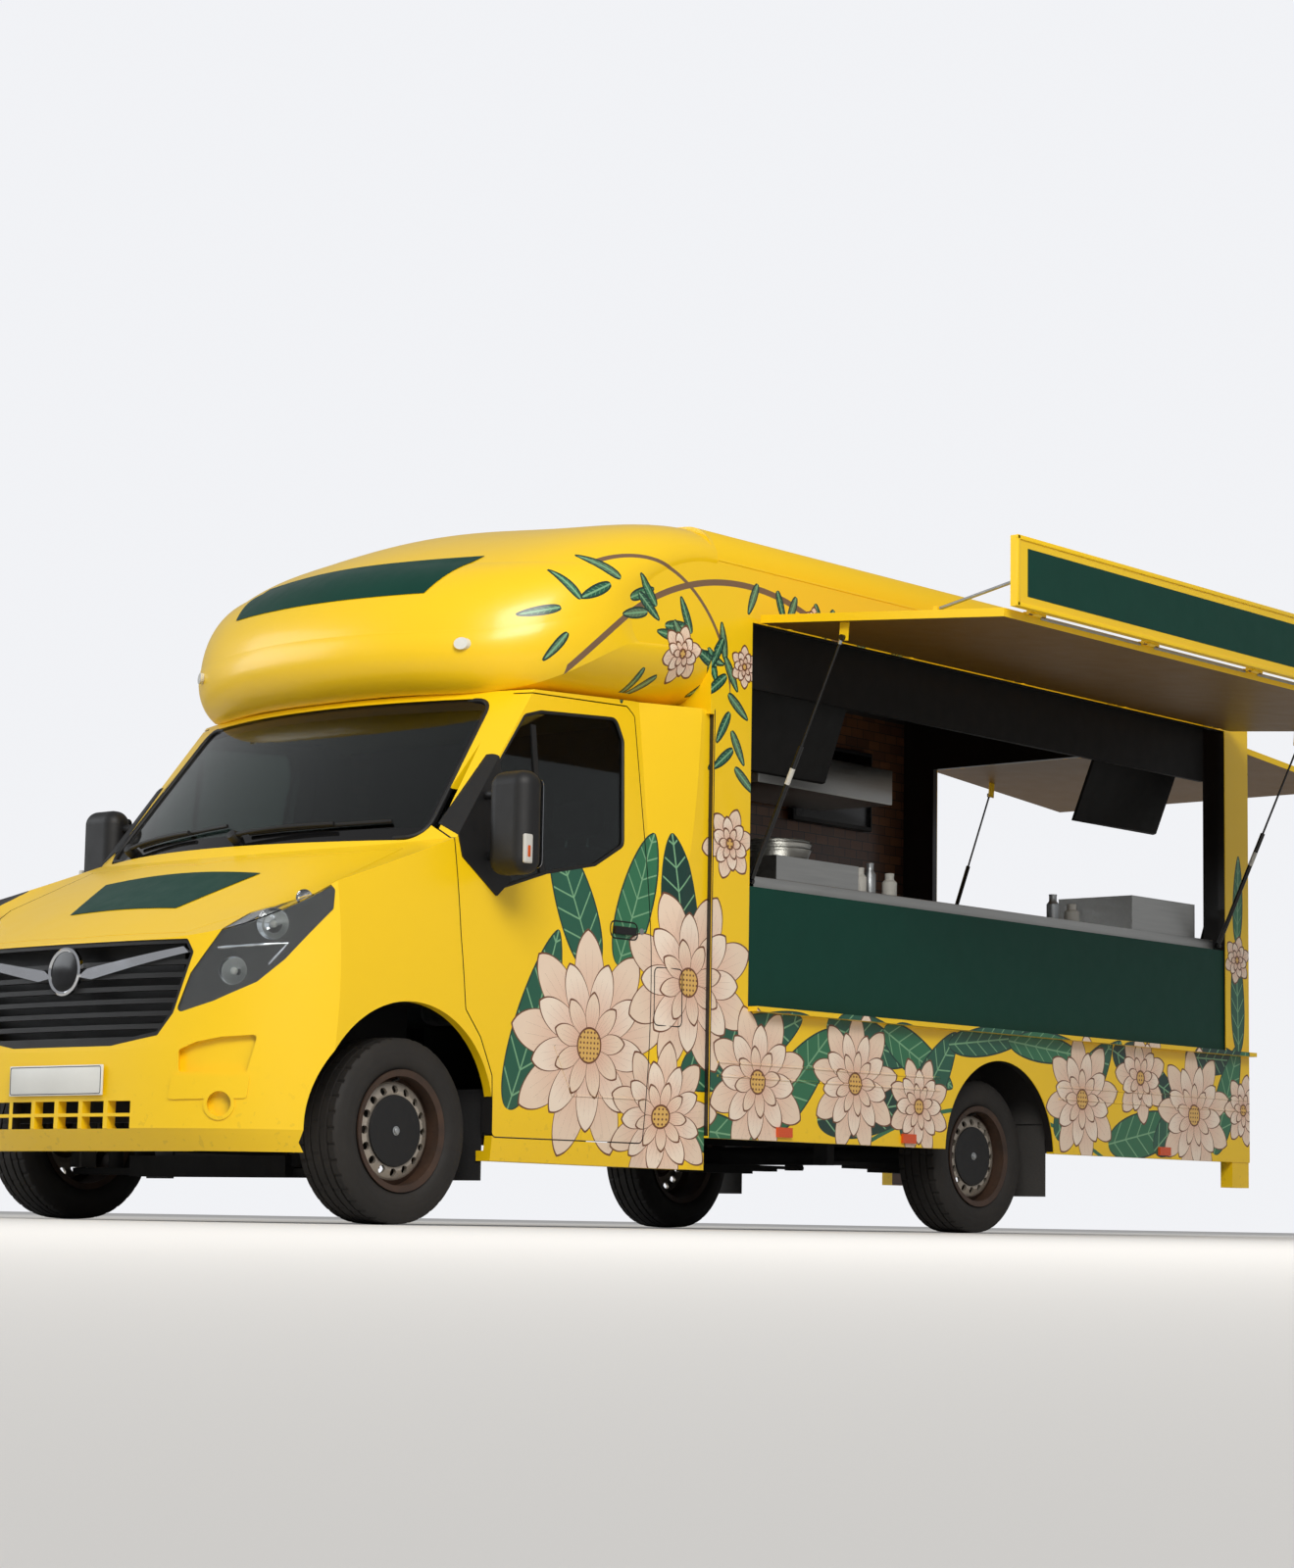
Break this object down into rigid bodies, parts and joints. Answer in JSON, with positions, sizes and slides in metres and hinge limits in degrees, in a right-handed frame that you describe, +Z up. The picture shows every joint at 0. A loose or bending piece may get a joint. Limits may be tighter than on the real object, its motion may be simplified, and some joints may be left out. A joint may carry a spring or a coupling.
{
  "type": "food truck",
  "caption": "Coach-built food truck on a front-driven van, with an over-cab nose, a lift-up serving side with a folding sign board, and a rear hatch.",
  "frame": {"origin": "bottom centre of the whole truck's box, on the ground, with the serving hatch and rear hatch raised", "axes": "+Z up, -Y the way the truck drives, +X its left, the serving side"},
  "size_m": [3.646, 7.9546, 2.9215],
  "materials": {
    "body_paint": "gloss yellow",
    "board_green": "satin dark green",
    "black_plastic": "grained",
    "chrome": "polished",
    "glass": "tinted",
    "lamp": "clear",
    "rubber": "tread",
    "wheel_steel": "silver paint",
    "chassis_steel": "underseal",
    "iron": "cast",
    "stainless": "brushed",
    "inner_wall": "satin",
    "floor_ply": "anti-slip",
    "seat_cloth": "woven",
    "lamp_red": "clear red",
    "strut_black": "gloss"
  },
  "bodies": {
    "body": {"chassis_frame": "chassis_steel", "engine_block": "iron", "front_suspension": "chassis_steel", "rear_axle": "chassis_steel", "floor": "floor_ply", "cab_floor": "floor_ply", "cab_shell": "body_paint", "luton_cap": "body_paint", "roof": "body_paint", "side_wall_left": "body_paint", "side_wall_right": "body_paint", "rear_wall": "body_paint", "bulkhead": "inner_wall", "bumper": "body_paint", "grille": "black_plastic", "grille_trim": "chrome", "headlamps": "lamp", "lamp_housings": "black_plastic", "windscreen": "glass", "dashboard": "black_plastic", "seats": "seat_cloth", "lamps": "lamp_red", "kitchen_units": "stainless", "counter_appliances": "stainless", "front_board": "board_green", "header_board": "black_plastic"},
    "knuckle_left": {"knuckle_left": "iron"},
    "knuckle_right": {"knuckle_right": "iron"},
    "wheel_front_left": {"tyre_front_left": "rubber", "rim_front_left": "wheel_steel"},
    "wheel_front_right": {"tyre_front_right": "rubber", "rim_front_right": "wheel_steel"},
    "wheel_rear_left": {"tyre_rear_left": "rubber", "rim_rear_left": "wheel_steel"},
    "wheel_rear_right": {"tyre_rear_right": "rubber", "rim_rear_right": "wheel_steel"},
    "cab_door_left": {"cab_door_left": "body_paint", "door_glass_left": "glass", "door_trim_left": "black_plastic"},
    "cab_door_right": {"cab_door_right": "body_paint", "door_glass_right": "glass", "door_trim_right": "black_plastic"},
    "bonnet": {"bonnet": "body_paint"},
    "serving_hatch": {"serving_hatch": "body_paint"},
    "fascia": {"fascia": "board_green"},
    "fascia_stays": {"fascia_stays": "stainless"},
    "hatch_strut_tubes": {"hatch_strut_tubes": "strut_black"},
    "hatch_strut_rods": {"hatch_strut_rods": "stainless"},
    "rear_hatch": {"rear_hatch": "body_paint"},
    "rear_strut_tubes": {"rear_strut_tubes": "strut_black"},
    "rear_strut_rods": {"rear_strut_rods": "stainless"},
    "staff_door": {"staff_door": "body_paint"}
  },
  "joints": [
    {"name": "steer_left", "type": "hinge", "parent": "body", "child": "knuckle_left", "pos_m": [0.24205, -3.16534, 0.342], "axis": [0, 0, 1], "range_deg": [-33, 33]},
    {"name": "steer_right", "type": "hinge", "parent": "body", "child": "knuckle_right", "pos_m": [-1.35795, -3.16534, 0.342], "axis": [0, 0, 1], "range_deg": [-33, 33]},
    {"name": "wheel_front_left", "type": "hinge", "parent": "knuckle_left", "child": "wheel_front_left", "pos_m": [0.31455, -3.16534, 0.342], "axis": [1, 0, 0], "continuous": true},
    {"name": "wheel_front_right", "type": "hinge", "parent": "knuckle_right", "child": "wheel_front_right", "pos_m": [-1.43045, -3.16534, 0.342], "axis": [1, 0, 0], "continuous": true},
    {"name": "wheel_rear_left", "type": "hinge", "parent": "body", "child": "wheel_rear_left", "pos_m": [0.30455, 0.51665, 0.342], "axis": [1, 0, 0], "continuous": true},
    {"name": "wheel_rear_right", "type": "hinge", "parent": "body", "child": "wheel_rear_right", "pos_m": [-1.42045, 0.51665, 0.342], "axis": [1, 0, 0], "continuous": true},
    {"name": "door_left", "type": "hinge", "parent": "body", "child": "cab_door_left", "pos_m": [0.46405, -2.99335, 1.2], "axis": [0, 0, -1], "range_deg": [0, 70]},
    {"name": "door_right", "type": "hinge", "parent": "body", "child": "cab_door_right", "pos_m": [-1.57995, -2.99335, 1.2], "axis": [0, 0, 1], "range_deg": [0, 70]},
    {"name": "bonnet_lift", "type": "hinge", "parent": "body", "child": "bonnet", "pos_m": [-0.55795, -3.09035, 1.452], "axis": [-1, 0, 0], "range_deg": [0, 55]},
    {"name": "hatch_lift", "type": "hinge", "parent": "body", "child": "serving_hatch", "pos_m": [0.53205, 0.59966, 2.502], "axis": [0, 1, 0], "range_deg": [0, 85.4]},
    {"name": "fascia_fold", "type": "hinge", "parent": "serving_hatch", "child": "fascia", "pos_m": [1.77895, 0.59966, 2.42575], "axis": [0, 1, 0], "range_deg": [0, 94.6]},
    {"name": "stay_fold", "type": "hinge", "parent": "serving_hatch", "child": "fascia_stays", "pos_m": [1.40213, 0.59966, 2.46811], "axis": [0, 1, 0], "range_deg": [0, 15.96]},
    {"name": "hatch_strut_swing", "type": "hinge", "parent": "body", "child": "hatch_strut_tubes", "pos_m": [0.49005, 0.59966, 1.422], "axis": [0, 1, 0], "range_deg": [-28.22, 0]},
    {"name": "hatch_strut_slide", "type": "slide", "parent": "hatch_strut_tubes", "child": "hatch_strut_rods", "axis": [0.4278, 0, 0.9039], "range_m": [-0.4191, 0]},
    {"name": "rear_hatch_lift", "type": "hinge", "parent": "body", "child": "rear_hatch", "pos_m": [-0.55795, 2.71466, 2.48], "axis": [-1, 0, 0], "range_deg": [0, 85.4]},
    {"name": "rear_strut_swing", "type": "hinge", "parent": "body", "child": "rear_strut_tubes", "pos_m": [-0.55795, 2.67265, 1.422], "axis": [1, 0, 0], "range_deg": [0, 28.83]},
    {"name": "rear_strut_slide", "type": "slide", "parent": "rear_strut_tubes", "child": "rear_strut_rods", "axis": [0, 0.4358, 0.9], "range_m": [-0.42122, 0]},
    {"name": "staff_door_swing", "type": "hinge", "parent": "body", "child": "staff_door", "pos_m": [-1.63895, -1.26235, 1.425], "axis": [0, 0, 1], "range_deg": [0, 105]}
  ],
  "couplings": [
    {"joint": "steer_right", "follows": "steer_left", "ratio": 1},
    {"joint": "stay_fold", "follows": "fascia_fold", "ratio": 0.16855},
    {"joint": "hatch_strut_swing", "follows": "hatch_lift", "ratio": -0.33034},
    {"joint": "hatch_strut_slide", "follows": "hatch_lift", "m_per_rad": -0.28084},
    {"joint": "rear_strut_swing", "follows": "rear_hatch_lift", "ratio": 0.3375},
    {"joint": "rear_strut_slide", "follows": "rear_hatch_lift", "m_per_rad": -0.28227}
  ]
}
